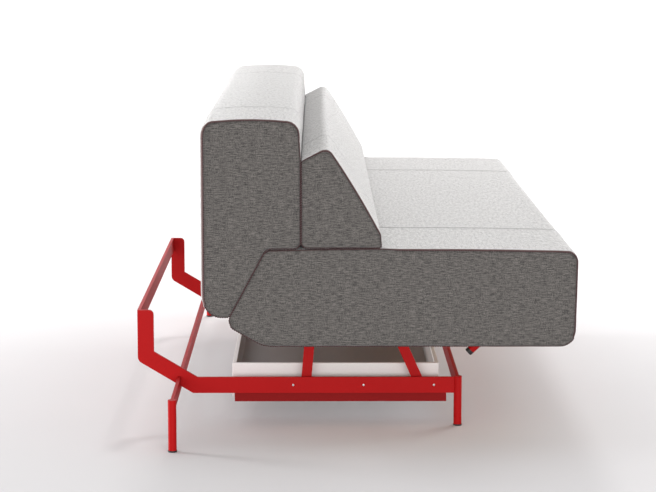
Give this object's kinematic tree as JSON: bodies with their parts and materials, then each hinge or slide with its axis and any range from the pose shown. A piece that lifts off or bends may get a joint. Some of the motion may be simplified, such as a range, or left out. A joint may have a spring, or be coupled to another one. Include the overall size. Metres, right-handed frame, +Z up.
{
  "type": "sofa bed",
  "caption": "Low sofa bed on an open steel frame: upholstered seat and folding back in sewn sections, a loose wedge cushion, and a storage tray underneath.",
  "frame": {"origin": "on the floor, under the middle of the whole object", "axes": "+X along the sofa to the sitter's left, the front faces -Y, +Z up"},
  "size_m": [2, 1.0434, 0.7948],
  "materials": {
    "grey_fabric": "woven grey melange upholstery",
    "foam": "open-cell foam",
    "plywood": "sanded plywood",
    "white_tray": "matt white",
    "black_plastic": "moulded",
    "nylon": "turned",
    "zinc_steel": "zinc plated",
    "red_steel": "gloss powder coat"
  },
  "bodies": {
    "base": {"front_crossbar": "red_steel", "front_glide_left": "black_plastic", "front_glide_right": "black_plastic", "front_leg_left": "red_steel", "front_leg_right": "red_steel", "guide_pins": "zinc_steel", "guide_post_left": "red_steel", "guide_post_right": "red_steel", "link_foot_bushes": "nylon", "link_foot_pins": "zinc_steel", "post_bolts": "zinc_steel", "rear_glide_left": "black_plastic", "rear_glide_right": "black_plastic", "rear_leg_left": "red_steel", "rear_leg_right": "red_steel", "rear_low_crossbar": "red_steel", "rear_top_crossbar": "red_steel", "runner_screws": "zinc_steel", "side_rail_left": "red_steel", "side_rail_right": "red_steel", "storage_tray": "white_tray", "tray_runner_left": "red_steel", "tray_runner_right": "red_steel"},
    "links": {"front_link_left": "red_steel", "front_link_right": "red_steel", "link_cross_tube": "red_steel"},
    "seat": {"seat_side_plate_left": "red_steel", "seat_side_plate_right": "red_steel", "seat_member_front": "red_steel", "seat_member_rear": "red_steel", "seat_board": "plywood", "seat_cover": "grey_fabric", "seat_foam": "foam", "pull_tube_left": "red_steel", "pull_tube_right": "red_steel", "pull_plug_left": "black_plastic", "pull_plug_right": "black_plastic", "link_head_pins": "zinc_steel", "link_head_bushes": "nylon", "hinge_pins": "zinc_steel"},
    "back": {"back_arm_left": "red_steel", "back_arm_right": "red_steel", "back_crossbar_low": "red_steel", "back_crossbar_high": "red_steel", "back_cover": "grey_fabric", "back_foam": "foam"},
    "wedge": {"wedge_cover": "grey_fabric", "wedge_foam": "foam"}
  },
  "joints": [
    {"name": "links_swing", "type": "hinge", "parent": "base", "child": "links", "pos_m": [0, -0.1793, 0.098], "axis": [1, 0, 0], "range_deg": [0, 24]},
    {"name": "seat_level", "type": "hinge", "parent": "links", "child": "seat", "pos_m": [0, -0.11772, 0.2363], "axis": [-1, 0, 0], "range_deg": [0, 24]},
    {"name": "back_fold", "type": "hinge", "parent": "seat", "child": "back", "pos_m": [0, 0.283, 0.337], "axis": [-1, 0, 0], "range_deg": [0, 88]},
    {"name": "wedge_lift", "type": "slide", "parent": "seat", "child": "wedge", "axis": [0, 0, 1], "range_m": [0, 0.3]}
  ],
  "couplings": [
    {"joint": "seat_level", "follows": "links_swing", "ratio": 1},
    {"joint": "back_fold", "follows": "links_swing", "ratio": 3.6667}
  ]
}
